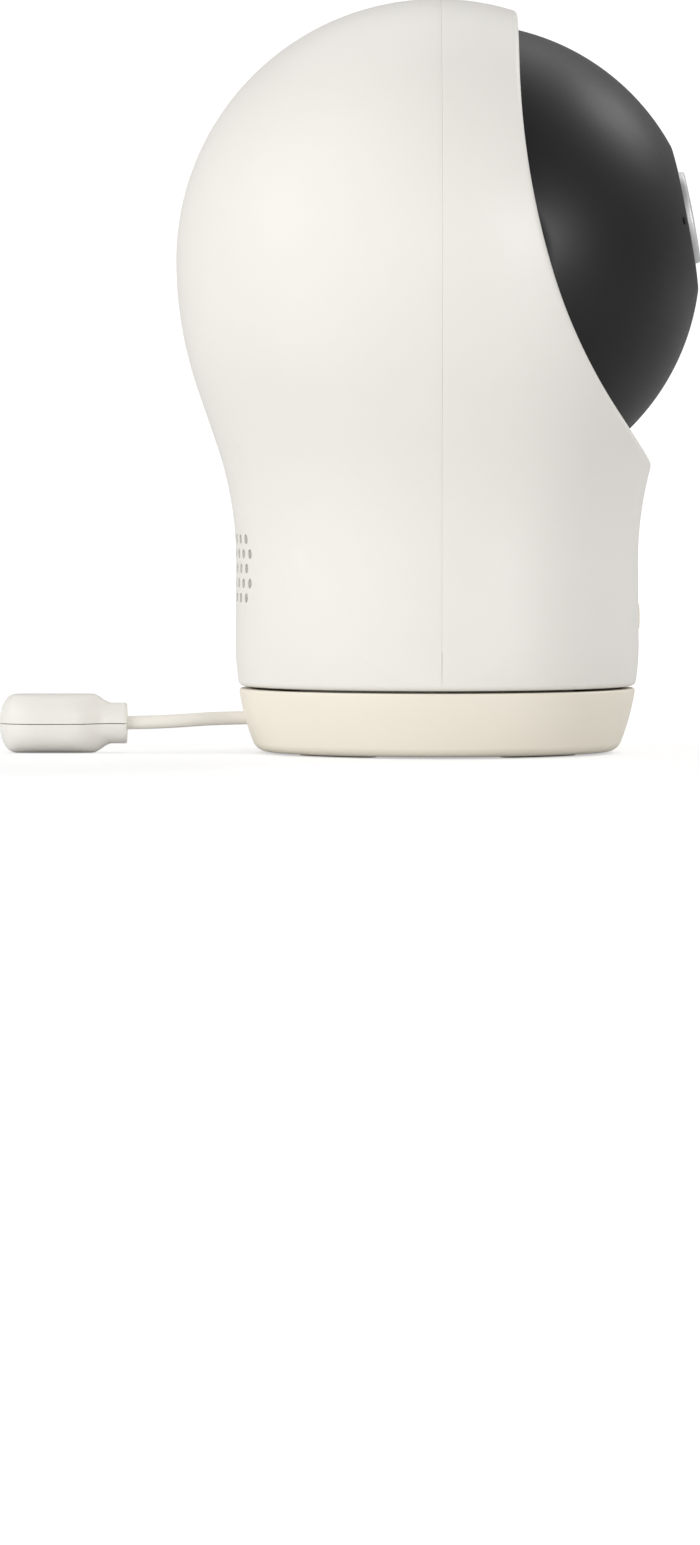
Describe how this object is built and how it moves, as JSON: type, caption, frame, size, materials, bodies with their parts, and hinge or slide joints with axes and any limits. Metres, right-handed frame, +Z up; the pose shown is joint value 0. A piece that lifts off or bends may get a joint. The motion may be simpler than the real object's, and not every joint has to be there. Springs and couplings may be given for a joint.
{
  "type": "baby monitor camera",
  "caption": "Pan and tilt baby monitor camera: round hooded housing on a low round base, dark ball eye with a lens, and a short lead with a temperature pod.",
  "frame": {"origin": "on the pan axis, in the plane of the rubber feet", "axes": "+X the way the eye looks, +Z up along the pan axis, Y along the tilt axis"},
  "size_m": [0.1149, 0.0856, 0.1235],
  "materials": {
    "housing_white": "fine satin moulded ABS",
    "base_cream": "fine satin moulded ABS",
    "eye_black": "soft matt moulded polycarbonate",
    "lens_bezel": "turned and knurled, satin anodised",
    "smoked_window": "polished infrared-pass acrylic",
    "lens_glass": "polished coated glass",
    "black_plastic": "matt moulded",
    "grey_rubber": "moulded silicone rubber",
    "steel": "zinc plated",
    "motor_steel": "plated pressed steel",
    "acetal": "moulded acetal",
    "circuit_board": "solder mask",
    "wire_sheath": "extruded sheath",
    "lead_sheath": "extruded elastomer",
    "chip_black": "moulded package",
    "lamp_resin": "clear cast resin"
  },
  "bodies": {
    "base": {"base_shell": "base_cream", "base_cover": "base_cream", "foot_pads": "grey_rubber", "base_screws": "steel", "ballast_plate": "steel", "power_board": "circuit_board", "usb_socket": "motor_steel", "lead_grommet": "lead_sheath", "sensor_lead": "lead_sheath", "sensor_pod_upper": "housing_white", "sensor_pod_lower": "housing_white", "thermistor_board": "circuit_board", "glide_ring": "acetal", "pan_ring_gear": "acetal", "gear_screws": "steel", "lower_harness": "wire_sheath"},
    "head": {"rear_housing": "housing_white", "front_housing": "housing_white", "swivel_plate": "housing_white", "plate_screws": "steel", "pan_motor": "motor_steel", "pan_motor_screws": "steel", "speaker": "black_plastic", "speaker_gasket": "grey_rubber", "main_board": "circuit_board", "antenna": "circuit_board", "button_board": "circuit_board", "button_switch": "black_plastic", "upper_harness": "wire_sheath", "drive_socket": "acetal", "idle_socket": "acetal", "drive_trunnion": "acetal", "tilt_fixed_gear": "acetal"},
    "pan_drive": {"pan_pinion": "acetal", "pan_shaft": "steel"},
    "eye": {"eye_front": "eye_black", "eye_rear": "eye_black", "eye_screws": "steel", "lens_ring": "lens_bezel", "ir_window": "smoked_window", "lens_window": "lens_glass", "lens_barrel": "black_plastic", "lens_element": "lens_glass", "lens_holder": "black_plastic", "image_sensor": "chip_black", "sensor_board": "circuit_board", "sensor_board_screws": "steel", "ir_board": "circuit_board", "ir_leds": "lamp_resin", "microphone": "motor_steel", "tilt_motor": "motor_steel", "tilt_motor_bracket": "steel", "tilt_motor_screws": "steel", "tilt_bush": "acetal", "idle_trunnion": "acetal", "eye_harness": "wire_sheath"},
    "tilt_drive": {"tilt_pinion": "acetal", "tilt_shaft": "steel"},
    "button": {"front_button": "base_cream"}
  },
  "joints": [
    {"name": "pan", "type": "hinge", "parent": "base", "child": "head", "pos_m": [0, 0, 0], "axis": [0, 0, 1], "range_deg": [-135, 135]},
    {"name": "pan_drive_spin", "type": "hinge", "parent": "head", "child": "pan_drive", "pos_m": [0.018, 0, 0.0157], "axis": [0, 0, 1], "range_deg": [-405, 405]},
    {"name": "tilt", "type": "hinge", "parent": "head", "child": "eye", "pos_m": [0.00433, 0, 0.0807], "axis": [0, -1, 0], "range_deg": [-35, 45]},
    {"name": "tilt_drive_spin", "type": "hinge", "parent": "eye", "child": "tilt_drive", "pos_m": [-0.00893, 0.029, 0.07817], "axis": [0, -1, 0], "range_deg": [-70, 90]},
    {"name": "button_press", "type": "slide", "parent": "head", "child": "button", "axis": [-1, 0, 0], "range_m": [0, 0.0003], "stiffness_N_per_m": 2000, "springref_m": -0.0003}
  ],
  "couplings": [
    {"joint": "pan_drive_spin", "follows": "pan", "ratio": 3},
    {"joint": "tilt_drive_spin", "follows": "tilt", "ratio": 2}
  ]
}
